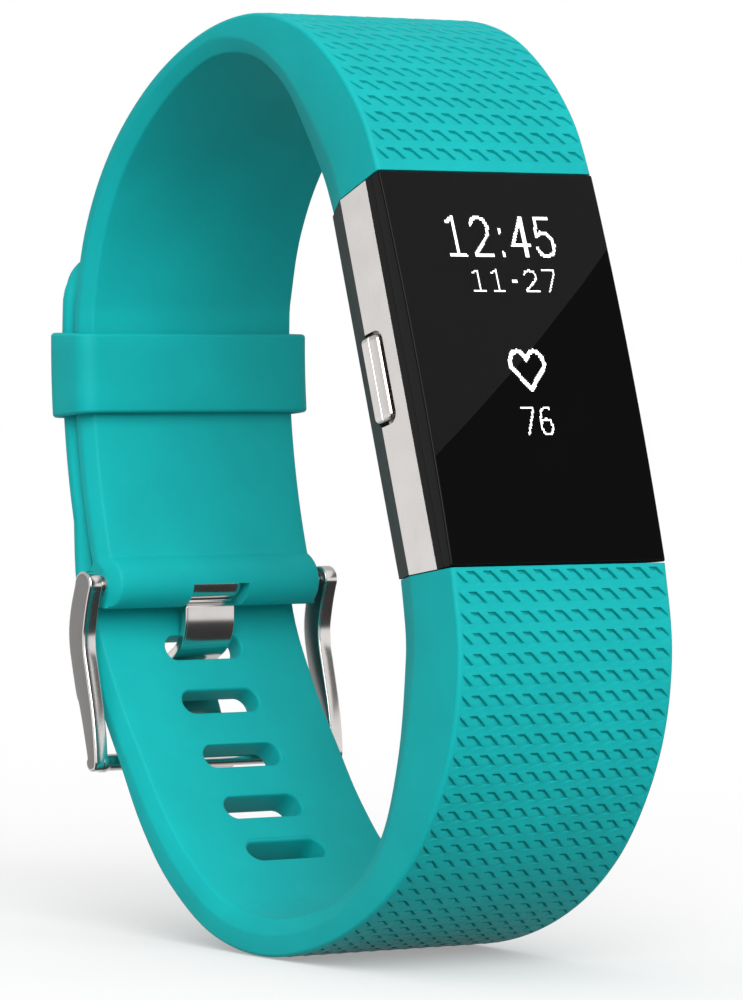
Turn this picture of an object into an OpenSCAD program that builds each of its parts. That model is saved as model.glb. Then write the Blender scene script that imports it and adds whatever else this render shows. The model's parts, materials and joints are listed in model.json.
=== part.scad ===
// Wrist-worn activity tracker: a display module in a two-piece silicone strap with a pin buckle.
// +X runs across the strap, the display faces -Y and leans back, +Z is up, and the origin is the
// centre of the opening that the wrist goes through. The strap is closed, as it is worn.

/* [Strap] */
// Width of the strap and of the tracker
band_w = 21.4; // [20.8:0.1:21.6]
// Thickness of the strap beside the tracker
strap_thick = 8.0; // [7.6:0.1:8.4]
// Thickness of the lower strap under the wrist
strap_mid = 2.9; // [2.6:0.1:3]
// Thickness of the strap at the back of the wrist
strap_thin = 2.0; // [1.8:0.1:2.0]
// Thickness of the tail that lies over the other strap
tail_t = 1.65; // [1.5:0.05:1.7]
// Number of adjustment slots
slots = 10; // [9:1:10]
// Distance between adjustment slots
slot_pitch = 5.25; // [5.2:0.05:5.3]
// Length of each slot across the strap
slot_len = 7.8; // [7:0.1:8.4]
// Height of each slot along the strap
slot_h = 2.2; // [2.1:0.1:2.6]

/* [Tracker] */
// Length of the display face
face_len = 32; // [31.5:0.1:32.5]
// Lean of the display face from the vertical
face_tilt = 18.5; // [18:0.5:19]
// Depth of the whole tracker behind its face
tracker_d = 8.1; // [8:0.1:8.2]
// Depth of the black glass and its bezel
bezel_d = 1.8; // [1.7:0.1:1.9]
// Depth at which the steel frame ends and the rear housing starts
steel_d = 5.3; // [5.2:0.1:5.4]
// Slant of the two end faces
end_draft = 8; // [7:0.5:9]

/* [Side button] */
// Length of the button
button_len = 6.9; // [6:0.1:8]
// Width of the button
button_w = 2.1; // [1.8:0.1:2.4]
// How far the button stands out of the frame
button_proud = 0.35; // [0.35:0.05:0.5]

/* [Buckle] */
// Width of the buckle over its legs
buckle_w = 25.4; // [25.4:0.1:26]
// Thickness of each leg
leg_t = 1.3; // [1.2:0.05:1.35]
// Width of the tongue
tongue_w = 5.0; // [4:0.1:5.4]
// Radius of the spring bar's tube
bar_r = 0.8; // [0.75:0.05:0.8]

/* [Keeper] */
// Height of the keeper loop along the strap
keeper_h = 6.8; // [5:0.1:8]
// Wall of the keeper loop
keeper_wall = 0.85; // [0.8:0.05:0.9]

/* [Hidden] */
$fn = 48;

teal = [0.11, 0.76, 0.74];
steel = [0.78, 0.76, 0.74];
black = [0.03, 0.03, 0.035];
dark_grey = [0.22, 0.21, 0.21];
board_green = [0.05, 0.3, 0.15];
gold = [0.85, 0.65, 0.3];

// Side-view points are [y, z] from the foot of the display face, and the wrist's centre lies here
wrist_y = 28;
wrist_z = 5;

// Centre and radius of the round back, on the outer face of the upper strap
back_c = [-11.15, 17.3];
back_r = 62;
layer_gap = 0.1;
tail_r = back_r + layer_gap + tail_t;

// Spring bar, and the strap's roll around it
bar = [46.1, -3.9];
roll_r = 2.0;
tongue_eye_r = 1.35;
cut_w = 5.7;
pin_r = 0.45;
running = 0.05;
pin_in = 7;
pin_cover = 0.3;
tube_half = 10.9;

// Crossbar of the buckle
cross = [44.5, -18.35];
cross_r = 0.7;

// Tracker's inner layout: x and z from the face's centre, and depths behind the face
half_w = band_w / 2;
half_face = face_len / 2;
end_gap = 0.1;
chamfer = 1.2;
rear_half_w = half_w - chamfer;
frame_wall = 1.6;
cavity_x = 8.3;
cavity_z = 13.2;
rear_floor = 1.0;
floor_d = tracker_d - rear_floor;
glass_t = 1.0;
face_bulge = 0.43;
face_steps = 8;
panel_x = 7.7;
panel_z = 11.9;
panel_d = 2.2;
flex_x = 4.0;
flex_t = 0.15;
flex_end = 13.0;
board_x = 8.2;
board_d0 = 2.5;
board_d1 = 3.1;
sensor_x = 5.1;
sensor_d0 = 5.7;
sensor_d1 = 6.1;
chip_t = 0.4;
led_x = 2.6;
window_half = 4.5;
window_proud = 0.4;
button_z = 0.4;
button_d = 4.6;
button_round = 0.6;
button_sunk = 0.35;
button_play = 0.3;
button_seat_x = 9.9;
stem_d = 4.2;
stem_r = 0.65;
stem_end = 8.55;
stem_bore_end = 4;
seal_x = 8.85;
seal_r = 0.18;
switch_half = 1.7;
screw_x = 7.0;
screw_z = 11.8;
screw_r = 0.45;
screw_head_r = 0.9;
head_d = tracker_d - 0.6;
boss_r = 1.55;
lug_x = [6, 9.2];
lug_z = [10.8, 13.7];
lug_d = 4.3;
gasket_x = 9.7;
gasket_z = 14.4;
gasket_w = 0.4;
gasket_t = 0.3;
contact_z = 9.2;
contact_pitch = 2.4;
contact_r = 0.75;
contact_step = 0.3;
motor_z = 9.1;
motor_r = 3.8;
motor_d = 4.75;

// Connectors in the strap ends, and their clips: depths, and heights from the face's centre
tab_half = 4.0;
tab_z = 13.55;
tab_room_d = 6.3;
connector_half = 7.0;
connector_len = 3.5;
connector_d0 = 3.8;
connector_d1 = 8;
connector_rear = 12;
clip_half = 3.0;
clip_d = 7.25;
clip_low = 15.4;
clip_high = 17.4;
clip_room = clip_high + 1;
grip_pitch = 0.5;

// ---- curves ----

// Catmull-Rom point between b and c
function spline_pt(a, b, c, d, t) =
  0.5 * (2 * b + (c - a) * t + (2 * a - 5 * b + 4 * c - d) * t * t
    + (3 * b - a - 3 * c + d) * t * t * t);

// Smooth line through the points p, with n steps between neighbours
function spline(p, n = 4) =
  [for (i = [0:len(p) - 2]) let (a = p[max(i - 1, 0)], d = p[min(i + 2, len(p) - 1)])
    for (k = [0:n - 1]) spline_pt(a, p[i], p[i + 1], d, k / n), p[len(p) - 1]];

// Point of the round back at a height, and the line along it from one height to another
function back_pt(r, z) = [back_c[0] + sqrt(r * r - pow(z - back_c[1], 2)), z];
function back_line(r, z0, z1, n) = [for (k = [0:n]) back_pt(r, z0 + (z1 - z0) * k / n)];

// Lengths along a line of points, and the left-hand normal at each point
function lengths(p, i = 0, s = 0) =
  i >= len(p) - 1 ? [s] : concat([s], lengths(p, i + 1, s + norm(p[i + 1] - p[i])));
function unit(v) = v / norm(v);
function normal(p, i) =
  let (t = unit(p[min(i + 1, len(p) - 1)] - p[max(i - 1, 0)])) [-t[1], t[0]];

// Point and direction at length s along a line of points
function at_length(p, s, i = 0) =
  let (d = norm(p[i + 1] - p[i]))
  s <= d || i == len(p) - 2 ? [p[i] + unit(p[i + 1] - p[i]) * s, unit(p[i + 1] - p[i])]
    : at_length(p, s - d, i + 1);

// Eases from 1 to 0 while s goes from a to b
function ease(s, a, b) = (1 + cos(180 * min(max((s - a) / (b - a), 0), 1))) / 2;

// Outline of a sheet whose outer face is the line p and whose thickness is t[i]
function sheet_outline(p, t, side) =
  concat(p, [for (i = [len(p) - 1:-1:0]) p[i] + side * t[i] * normal(p, i)]);

// ---- frames and simple shapes ----

// From the foot of the display face to the part's own origin
module loop_frame() translate([0, -wrist_y, -wrist_z]) children();

// Tracker's frame: the face's centre, +Y into the wrist, +Z up the face
module tracker_frame()
  loop_frame() face_frame() children();
module face_frame() rotate([-face_tilt, 0, 0]) translate([0, 0, half_face]) children();

// Turns a [y, z] outline into a solid of width w across the strap
module across(w) rotate([90, 0, 90]) linear_extrude(height = w, center = true) children();

// Round bar across the strap at a [y, z] point
module rod(at, r, w, x = 0)
  translate([x, at[0], at[1]]) rotate([0, 90, 0]) cylinder(r = r, h = w, center = true);

// Block between two corners
module block(low, high) translate(low) cube(high - low);

module rounded_rect(w, h, r) {
  if (w > 2 * r) square([w - 2 * r, h], center = true);
  if (h > 2 * r) square([w, h - 2 * r], center = true);
  for (x = [-1, 1], y = [-1, 1]) translate([x * (w / 2 - r), y * (h / 2 - r)]) circle(r = r);
}

// Half length of the tracker at a depth behind its face
function half_len(d) = half_face - d * tan(end_draft);

// Side outline of a layer of the tracker, drawn in by gap at its ends
function layer(d0, d1, gap) = [
  [d0, half_len(d0) - gap], [d1, half_len(d1) - gap],
  [d1, gap - half_len(d1)], [d0, gap - half_len(d0)]
];

// Drilled along the depth of the tracker
module drill(x, z, r, d0, d1)
  translate([x, d0, z]) rotate([-90, 0, 0]) cylinder(r = r, h = d1 - d0);

module screw_corners() for (x = [-1, 1], z = [-1, 1]) translate([x * screw_x, 0, z * screw_z]) children();

// Seat of the button in the side of the frame
module button_slot(grow, x0, x1)
  translate([-x1, button_d, button_z]) rotate([90, 0, 90])
    linear_extrude(height = x1 - x0)
      rounded_rect(button_w + 2 * grow, button_len + 2 * grow, button_round + grow);

// ---- tracker ----

// The face bulges a little along its length
module display_glass() color(black) tracker_frame() across(band_w) polygon(concat(
  [[glass_t, half_len(glass_t) - end_gap]], [[glass_t, end_gap - half_len(glass_t)]],
  [for (k = [-face_steps:face_steps]) let (share = k / face_steps)
    [face_bulge * (share * share - 1), share * (half_face - end_gap)]]
));

module front_bezel() color(black) tracker_frame() difference() {
  across(band_w) polygon(layer(glass_t, bezel_d, end_gap));
  block([-panel_x - 0.1, 0, -panel_z - 0.1], [panel_x + 0.1, bezel_d + 1, panel_z + 0.1]);
}

module display_panel() color([0.08, 0.08, 0.1]) tracker_frame()
  block([-panel_x, glass_t, -panel_z], [panel_x, panel_d, panel_z]);

module display_flex() color([0.7, 0.4, 0.1]) tracker_frame() {
  // it leaves the back of the panel, turns round the board's end and lies on the board's back
  block([-flex_x, panel_d, -flex_end], [flex_x, panel_d + flex_t, -9]);
  block([-flex_x, panel_d + flex_t, -flex_end], [flex_x, board_d1 + 0.2, flex_t - flex_end]);
  block([-flex_x, board_d1 + 0.05, flex_t - flex_end], [flex_x, board_d1 + 0.2, -12]);
}

module steel_frame() color(steel) tracker_frame() difference() {
  union() {
    difference() {
      across(band_w) polygon(layer(bezel_d, steel_d, end_gap));
      across(band_w - 2 * frame_wall) polygon(layer(bezel_d - 1, steel_d + 1, frame_wall + end_gap));
    }
    // lugs for the rear screws
    for (x = [0, 1], z = [0, 1]) mirror([x, 0, 0]) mirror([0, 0, z])
      block([lug_x[0], lug_d, lug_z[0]], [lug_x[1], steel_d, lug_z[1]]);
  }
  screw_corners() drill(0, 0, screw_r, lug_d - 1, steel_d + 1);
  button_slot(button_play, button_seat_x, half_w + 1);
  rod([stem_d, button_z], stem_r + running, stem_bore_end, -half_w + 1.2);
}

module rear_housing() color(dark_grey) tracker_frame() difference() {
  intersection() {
    across(band_w) polygon(layer(steel_d, tracker_d, end_gap));
    translate([0, 0, -face_len]) linear_extrude(height = 2 * face_len)
      polygon([[-half_w, steel_d], [-rear_half_w, tracker_d], [rear_half_w, tracker_d], [half_w, steel_d]]);
  }
  difference() {
    block([-cavity_x, steel_d - 1, -cavity_z], [cavity_x, floor_d, cavity_z]);
    screw_corners() drill(0, 0, boss_r, 0, tracker_d + 1);
  }
  screw_corners() {
    drill(0, 0, screw_r + running, steel_d - 1, tracker_d + 1);
    drill(0, 0, screw_head_r + running, head_d, tracker_d + 1);
  }
  block([-window_half, floor_d - 1, -window_half], [window_half, tracker_d + 1, window_half]);
  contact_places() drill(0, contact_z, contact_r, floor_d - 1, tracker_d + 1);
  // seat of the gasket
  gasket_ring();
  // notches that the strap's tabs lie in, open to the wrist
  for (z = [0, 1]) mirror([0, 0, z])
    block([-tab_half - 0.3, tab_room_d, tab_z], [tab_half + 0.3, tracker_d + 1, half_face + 1]);
  button_slot(button_play, button_seat_x, half_w + 1);
}

module contact_places() for (i = [-1.5:1:1.5]) translate([i * contact_pitch, 0, 0]) children();

module gasket_ring() difference() {
  block([-gasket_x, steel_d, -gasket_z], [gasket_x, steel_d + gasket_t, gasket_z]);
  block([gasket_w - gasket_x, steel_d - 1, gasket_w - gasket_z],
        [gasket_x - gasket_w, steel_d + 1, gasket_z - gasket_w]);
}

module rear_gasket() color([0.1, 0.1, 0.1]) tracker_frame() gasket_ring();

module rear_screws() color(steel) tracker_frame() screw_corners() difference() {
  union() {
    drill(0, 0, screw_r, lug_d, head_d + 0.2);
    drill(0, 0, screw_head_r, head_d, tracker_d - 0.1);
  }
  // cross-shaped drive
  for (a = [0, 90]) translate([0, tracker_d - 0.2, 0]) rotate([0, a, 0])
    cube([1.1, 0.5, 0.25], center = true);
}

module circuit_board() color(board_green) tracker_frame()
  block([-board_x, board_d0, -12.7], [board_x, board_d1, 12.9]);

module shield_can() color([0.7, 0.7, 0.72]) tracker_frame() difference() {
  block([-6, board_d1, -11.9], [6, board_d1 + 1.5, -5.2]);
  block([-5.8, board_d1 - 0.1, -11.7], [5.8, board_d1 + 1.3, -5.4]);
}

module battery() color([0.6, 0.62, 0.66]) tracker_frame()
  block([-5.5, board_d1 + 0.2, -4.4], [7.5, sensor_d0 - 0.1, 10.1]);

module vibration_motor() color([0.75, 0.75, 0.78]) tracker_frame()
  drill(0, -motor_z, motor_r, motor_d, floor_d - 0.1);

module sensor_board() color(board_green) tracker_frame()
  block([-sensor_x, sensor_d0, -sensor_x], [sensor_x, sensor_d1, sensor_x]);

module sensor_leds() color([0.3, 0.9, 0.4]) tracker_frame()
  for (x = [-1, 1]) translate([x * led_x, 0, 0]) chip(0.8);

module photodiode() color([0.15, 0.15, 0.2]) tracker_frame() chip(1.3);

// Square part soldered to the sensor board
module chip(half) block([-half, sensor_d1, -half], [half, sensor_d1 + chip_t, half]);

module sensor_window() color([0.05, 0.06, 0.06]) tracker_frame() {
  block([-sensor_x, sensor_d1 + chip_t + 0.1, -sensor_x], [sensor_x, floor_d, sensor_x]);
  block([-window_half, floor_d, -window_half], [window_half, tracker_d, window_half]);
  translate([0, tracker_d, 0]) rotate([-90, 0, 0])
    linear_extrude(height = window_proud) rounded_rect(8.6, 8.6, 1.2);
}

module charging_contacts() color(gold) tracker_frame() contact_places() {
  drill(0, contact_z, contact_r, floor_d, tracker_d);
  drill(0, contact_z, contact_r + contact_step, floor_d - 0.4, floor_d);
}

module tactile_switch() color([0.2, 0.2, 0.2]) tracker_frame()
  block([-board_x, board_d1 + 0.2, button_z - switch_half],
        [2 - board_x, board_d1 + 2, button_z + switch_half]);

module side_button() color(steel) tracker_frame() {
  button_slot(0, half_w - button_sunk, half_w + button_proud);
  stem_start = half_w - button_sunk / 2;
  rod([stem_d, button_z], stem_r, stem_start - stem_end, -(stem_start + stem_end) / 2);
}

module button_seal() color([0.1, 0.1, 0.1]) tracker_frame()
  translate([-seal_x, stem_d, button_z]) rotate([0, 90, 0]) rotate_extrude()
    translate([stem_r + seal_r + running, 0]) circle(r = seal_r);

// ---- straps ----

// Wider than the strap, for outlines that are cut to its width
wide = 30;

// Room that the tracker takes between the straps
module tracker_room() across(wide) polygon(layer(-4, 14, 0));

// Connector moulded into the thick end of a strap, drawn for the upper one
module connector_block(rear) {
  top = half_len(connector_d1) + connector_len + 0.8;
  across(2 * connector_half) polygon([
    [connector_d0, half_len(connector_d0)], [rear, half_len(rear)], [rear, top], [connector_d0, top]
  ]);
}

module connector() difference() {
  union() {
    connector_block(connector_d1);
    block([-tab_half, tab_room_d + 0.3, tab_z + 0.55], [tab_half, connector_d1, tab_z + 1.65]);
  }
  block([-clip_half - 0.1, clip_d - 0.05, clip_low - 0.05], [clip_half + 0.1, connector_d1 + 1, clip_room]);
}

module clip() difference() {
  block([-clip_half, clip_d, clip_low], [clip_half, connector_d1 + 0.1, clip_high]);
  // grooves for the fingertip
  for (k = [0:2]) translate([0, 0, clip_low + 0.4 + k * grip_pitch])
    block([-2.4, connector_d1 - 0.05, 0], [2.4, connector_d1 + 1, grip_pitch / 2]);
}

module clip_spring() for (x = [-1.6, 1.6])
  translate([x, clip_d + 0.4, clip_high]) difference() {
    cylinder(r = 0.35, h = clip_room - clip_high);
    translate([0, 0, -1]) cylinder(r = 0.2, h = 3);
  }

upper_line = concat(
  spline([
    [9.5, 28.4], [10.2, 30.3], [12.4, 34.6], [16.1, 38.6], [20.8, 41.5], [26.4, 42.6],
    [32.4, 41.6], [38.2, 38.9], [43.1, 35.1], [47.0, 30.4], [49.6, 24.9], back_pt(back_r, 19)
  ]),
  back_line(back_r, 17.5, bar[1], 14)
);
upper_t = [for (s = lengths(upper_line)) strap_thin + (strap_thick - strap_thin) * ease(s, 6, 34)];

module upper_band() color(teal) loop_frame() difference() {
  union() {
    across(band_w) polygon(sheet_outline(upper_line, upper_t, -1));
    rod(bar, roll_r, band_w);
  }
  face_frame() {
    tracker_room();
    connector_block(connector_rear);
  }
  rod(bar, bar_r, wide);
  // notch for the tongue
  rod(bar, tongue_eye_r + 0.15, cut_w);
  block([-cut_w / 2, bar[0] - 2 * roll_r, bar[1] - 2 * roll_r], [cut_w / 2, bar[0] + 2 * roll_r, bar[1]]);
}

// Height of the tail's tip, and the radius of its corners
tail_top = 23.3;
tip_r = 4;
lower_line = concat(
  spline([
    [0.4, 1.9], [0, 0], [-1.1, -6.4], [-0.6, -12.6], [1.4, -18.3], [4.9, -23.7], [10.0, -28.0],
    [16.6, -31.0], [23.8, -32.2], [30.6, -31.0], [36.3, -27.5], [40.2, -23.3], [43.2, -18.65],
    [46.1, -14.1], [48.5, -9.4], [50.0, -4.0], back_pt(tail_r, 1)
  ]),
  back_line(tail_r, 2.5, tail_top + 0.5, 14)
);
lower_s = lengths(lower_line);
// Lengths along the lower strap at which the tail starts and at which the tongue's slot lies
tail_from = 80;
tongue_slot_s = 83.4;
below_tongue = 4;
lower_t = [for (s = lower_s)
  tail_t + (strap_thin + 0.1 - tail_t) * ease(s, tail_from, tail_from + 8)
    + (strap_mid - strap_thin) * ease(s, 62, 81) + (strap_thick - strap_mid) * ease(s, 9, 40)];

module slot_cutter()
  linear_extrude(height = 10, center = true) rounded_rect(slot_len, slot_h, slot_h / 2 - 0.05);

// Seen from the back of the wrist: rounded corners at the tip of the tail
module tail_plan() translate([0, 70, 0]) rotate([90, 0, 0]) linear_extrude(height = 80) polygon(concat(
  [[-half_w, -50], [half_w, -50]],
  [for (a = [0:15:90]) [half_w - tip_r + tip_r * cos(a), tail_top - tip_r + tip_r * sin(a)]],
  [for (a = [90:15:180]) [tip_r - half_w + tip_r * cos(a), tail_top - tip_r + tip_r * sin(a)]]
));

module lower_band() color(teal) loop_frame() difference() {
  intersection() {
    across(wide) polygon(sheet_outline(lower_line, lower_t, 1));
    tail_plan();
  }
  face_frame() {
    tracker_room();
    mirror([0, 0, 1]) connector_block(connector_rear);
  }
  for (i = [0:slots - 1]) {
    p = at_length(lower_line, tongue_slot_s + (i - below_tongue) * slot_pitch);
    translate([0, p[0][0], p[0][1]]) rotate([atan2(p[1][1], p[1][0]), 0, 0]) slot_cutter();
  }
}

module upper_connector() color(dark_grey) tracker_frame() connector();
module lower_connector() color(dark_grey) tracker_frame() mirror([0, 0, 1]) connector();
module upper_clip() color(steel) tracker_frame() clip();
module lower_clip() color(steel) tracker_frame() mirror([0, 0, 1]) clip();
module upper_clip_spring() color(steel) tracker_frame() clip_spring();
module lower_clip_spring() color(steel) tracker_frame() mirror([0, 0, 1]) clip_spring();

// ---- spring bar, buckle and keeper ----

module spring_bar_tube() color(steel) loop_frame() difference() {
  rod(bar, bar_r, 2 * tube_half);
  rod(bar, pin_r + running, wide);
}

module spring_bar_pin(side) color(steel) loop_frame() {
  tip = buckle_w / 2 - pin_cover;
  rod(bar, pin_r, tip - pin_in, side * (tip + pin_in) / 2);
}
module spring_bar_pin_left() spring_bar_pin(-1);
module spring_bar_pin_right() spring_bar_pin(1);

module spring_bar_spring() color(steel) loop_frame() difference() {
  rod(bar, pin_r - 0.03, 2 * pin_in);
  rod(bar, 0.25, wide);
}

// The lower third of each leg is a little slimmer, behind a small step
leg_outer = [
  [47.25, -3.9], [47.9, -6.0], [48.1, -8.4], [47.3, -11.4], [46.75, -13.2], [46.4, -13.6], [45.0, -18.2],
  [44.6, -18.9]
];
leg_inner = [
  [43.9, -18.9], [43.7, -18.3], [44.2, -14.8], [45.0, -11.8], [45.9, -8.6], [45.5, -6.0], [44.95, -3.9]
];
leg_top_r = 1.15;

module buckle_frame() color(steel) loop_frame() difference() {
  union() {
    for (x = [-1, 1]) {
      translate([x * (buckle_w - leg_t) / 2, 0, 0]) across(leg_t) polygon(concat(leg_outer, leg_inner));
      rod(bar, leg_top_r, leg_t, x * (buckle_w - leg_t) / 2);
    }
    rod(cross, cross_r, buckle_w - leg_t);
  }
  rod(bar, pin_r + running, buckle_w - 2 * pin_cover + 0.1);
}

tongue_line = spline([
  [46.0, -4.6], [46.0, -6.0], [46.0, -7.3], [46.25, -8.4], [46.95, -9.4], [48.1, -10.2], [48.85, -11.2],
  [48.5, -12.8], [47.25, -15.5], [46.05, -18.1], [45.45, -19.3]
]);
tongue_t = 0.8;
// Neck under the eye, with a sloping lower side
neck_y = 45.9;
neck_z = -5.45;

module buckle_tongue() color(steel) loop_frame() difference() {
  union() {
    rod(bar, tongue_eye_r, tongue_w);
    difference() {
      across(tongue_w) polygon(concat(
        [for (i = [0:len(tongue_line) - 1]) tongue_line[i] + tongue_t / 2 * normal(tongue_line, i)],
        [for (i = [len(tongue_line) - 1:-1:0]) tongue_line[i] - tongue_t / 2 * normal(tongue_line, i)]
      ));
      across(wide) polygon([
        [neck_y - 1, neck_z + 1], [neck_y, neck_z + 1], [neck_y, neck_z], [neck_y - 0.4, neck_z - 0.5],
        [neck_y - 1, neck_z - 0.5]
      ]);
    }
  }
  rod(bar, bar_r + running, wide);
}

keeper_mid_z = 13.2;
keeper_play = 0.15;
keeper_w = band_w + 2 * keeper_play;
keeper_in = back_r - strap_thin - keeper_play;
keeper_out = tail_r + keeper_play;

module keeper_loop() color(teal) loop_frame()
  translate([0, back_c[0], back_c[1]]) rotate([0, 90, 0])
    rotate([0, 0, 90 + asin((keeper_mid_z - keeper_h / 2 - back_c[1]) / back_r)])
      rotate_extrude(angle = keeper_h / back_r * 180 / PI, $fn = 720) difference() {
        translate([(keeper_in + keeper_out) / 2, 0])
          rounded_rect(keeper_out - keeper_in + 2 * keeper_wall, keeper_w + 2 * keeper_wall, 1.2);
        translate([(keeper_in + keeper_out) / 2, 0])
          square([keeper_out - keeper_in, keeper_w], center = true);
      }

display_glass();
front_bezel();
display_panel();
display_flex();
steel_frame();
rear_housing();
rear_gasket();
rear_screws();
circuit_board();
shield_can();
battery();
vibration_motor();
sensor_board();
sensor_leds();
photodiode();
sensor_window();
charging_contacts();
tactile_switch();
side_button();
button_seal();
upper_band();
upper_connector();
upper_clip();
upper_clip_spring();
lower_band();
lower_connector();
lower_clip();
lower_clip_spring();
spring_bar_tube();
spring_bar_pin_left();
spring_bar_pin_right();
spring_bar_spring();
buckle_frame();
buckle_tongue();
keeper_loop();
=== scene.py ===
"""Looks of a fitness tracker band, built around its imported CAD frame. All lengths are in metres."""

import json
import math
from functools import partial

import bmesh
import bpy
import numpy as np
from mathutils import Matrix, Vector


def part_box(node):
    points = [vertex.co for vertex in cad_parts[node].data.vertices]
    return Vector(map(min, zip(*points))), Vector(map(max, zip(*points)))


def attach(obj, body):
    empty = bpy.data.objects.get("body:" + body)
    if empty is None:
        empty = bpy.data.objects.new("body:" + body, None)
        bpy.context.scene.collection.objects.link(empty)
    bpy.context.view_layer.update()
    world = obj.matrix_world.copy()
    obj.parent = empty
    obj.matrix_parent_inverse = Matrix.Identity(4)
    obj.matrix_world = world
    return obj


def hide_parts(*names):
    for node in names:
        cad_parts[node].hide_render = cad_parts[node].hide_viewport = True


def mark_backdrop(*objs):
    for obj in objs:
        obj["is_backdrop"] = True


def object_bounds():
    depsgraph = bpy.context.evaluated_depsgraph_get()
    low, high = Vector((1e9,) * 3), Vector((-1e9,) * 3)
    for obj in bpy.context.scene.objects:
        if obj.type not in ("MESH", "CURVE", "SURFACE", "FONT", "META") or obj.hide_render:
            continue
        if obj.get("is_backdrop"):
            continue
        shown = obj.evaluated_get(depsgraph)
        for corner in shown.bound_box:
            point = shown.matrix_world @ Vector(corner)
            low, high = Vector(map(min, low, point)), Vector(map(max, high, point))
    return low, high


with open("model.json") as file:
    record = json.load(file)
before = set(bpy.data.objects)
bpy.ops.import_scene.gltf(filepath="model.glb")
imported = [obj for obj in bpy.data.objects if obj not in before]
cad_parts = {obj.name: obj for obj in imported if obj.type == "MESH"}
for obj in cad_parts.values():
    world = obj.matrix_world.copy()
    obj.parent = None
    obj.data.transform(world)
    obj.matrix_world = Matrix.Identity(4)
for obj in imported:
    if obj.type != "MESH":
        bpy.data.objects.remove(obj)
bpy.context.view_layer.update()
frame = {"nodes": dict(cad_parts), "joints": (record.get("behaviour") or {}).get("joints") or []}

MM = 0.001
NODES = frame["nodes"]
JOINTS = {j["name"]: j for j in frame["joints"]}
ACROSS = np.array((1.0, 0.0, 0.0))
INTO = -np.array(JOINTS["tracker_release"]["axis"])  # from the display into the wrist
UP = np.cross(ACROSS, INTO)  # up the display face
BAR = np.array(JOINTS["buckle_tilt"]["pos_m"])[1:]
BACK_CENTRE = np.array(JOINTS["keeper_slide"]["pos_m"])[1:]


# ---- measuring the CAD frame ----

def points_of(node):
    """The vertices of a CAD node."""
    return np.array([v.co for v in NODES[node].data.vertices])


def extent(node, axis):
    """Lowest and highest place of a CAD node along an axis."""
    places = points_of(node) @ axis
    return places.min(), places.max()


def radius_of(node):
    """Radius of a round CAD node that lies across the strap."""
    low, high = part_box(node)
    return (high - low).z / 2


def loops_at(node, x):
    """Closed [y, z] loops where the plane at x cuts a CAD node, the longest first."""
    mesh = NODES[node].data
    mesh.calc_loop_triangles()
    points = [tuple(v.co) for v in mesh.vertices]
    near = {}
    for triangle in mesh.loop_triangles:
        cut = []
        for k in range(3):
            p, q = sorted((points[triangle.vertices[k]], points[triangle.vertices[k - 1]]))
            if (p[0] < x) != (q[0] < x):
                t = (x - p[0]) / (q[0] - p[0])
                cut.append((p[1] + t * (q[1] - p[1]), p[2] + t * (q[2] - p[2])))
        if len(cut) == 2 and cut[0] != cut[1]:
            near.setdefault(cut[0], []).append(cut[1])
            near.setdefault(cut[1], []).append(cut[0])
    loops = []
    while near:
        at, loop = next(iter(near)), []
        while near.get(at):
            loop.append(at)
            step = near[at].pop()
            near[step].remove(at)
            if not near[at]:
                del near[at]
            at = step
        near.pop(at, None)
        loops.append(without_straights(np.array(loop)))
    return sorted(loops, key=lambda p: -np.linalg.norm(np.roll(p, -1, 0) - p, axis=1).sum())


def turns(loop):
    """How far a closed loop turns at each point, in radians."""
    after, before = np.roll(loop, -1, 0) - loop, loop - np.roll(loop, 1, 0)
    cross = before[:, 0] * after[:, 1] - before[:, 1] * after[:, 0]
    return np.abs(np.arctan2(cross, (before * after).sum(1)))


def without_straights(loop):
    """The loop without the points at which it runs straight on."""
    return loop[turns(loop) > math.radians(0.15)]


class Line:
    """Smooth curve through [y, z] points, measured by its length."""

    def __init__(self, points):
        self.points = np.array(points)
        steps = np.linalg.norm(np.diff(self.points, axis=0), axis=1)
        self.places = np.concatenate([[0], np.cumsum(steps)])
        self.slopes = np.gradient(self.points, self.places, axis=0, edge_order=2)
        self.length = self.places[-1]

    def at(self, s):
        """Points at lengths s; past its ends the line runs straight on."""
        s = np.atleast_1d(s)
        i = np.clip(np.searchsorted(self.places, s, side="right") - 1, 0, len(self.places) - 2)
        h = (self.places[i + 1] - self.places[i])[:, None]
        t = (np.clip(s, 0, self.length) - self.places[i])[:, None] / h
        a, b, ma, mb = self.points[i], self.points[i + 1], self.slopes[i] * h, self.slopes[i + 1] * h
        found = (2 * t**3 - 3 * t**2 + 1) * a + (t**3 - 2 * t**2 + t) * ma
        found += (3 * t**2 - 2 * t**3) * b + (t**3 - t**2) * mb
        past = (s - np.clip(s, 0, self.length))[:, None]
        return found + past * np.where(past > 0, self.slopes[-1], self.slopes[0])

    def along(self, s, step=0.05 * MM):
        """Directions of the line at lengths s."""
        d = self.at(np.asarray(s) + step) - self.at(np.asarray(s) - step)
        return d / np.linalg.norm(d, axis=1)[:, None]

    def nearest(self, points, samples=6000):
        """Length along the line of the place nearest to each point, and its distance."""
        s = np.linspace(0, self.length, samples)
        gap = np.linalg.norm(self.at(s)[None] - np.atleast_2d(points)[:, None], axis=2)
        return s[gap.argmin(1)], gap.min(1)


# ---- making meshes ----

def weld(mesh, distance=1e-6):
    """Joins points in one place, and turns faces outwards."""
    work = bmesh.new()
    work.from_mesh(mesh)
    bmesh.ops.remove_doubles(work, verts=work.verts, dist=distance)
    bmesh.ops.dissolve_degenerate(work, dist=distance, edges=work.edges)
    bmesh.ops.recalc_face_normals(work, faces=work.faces)
    work.to_mesh(mesh)
    work.free()


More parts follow.
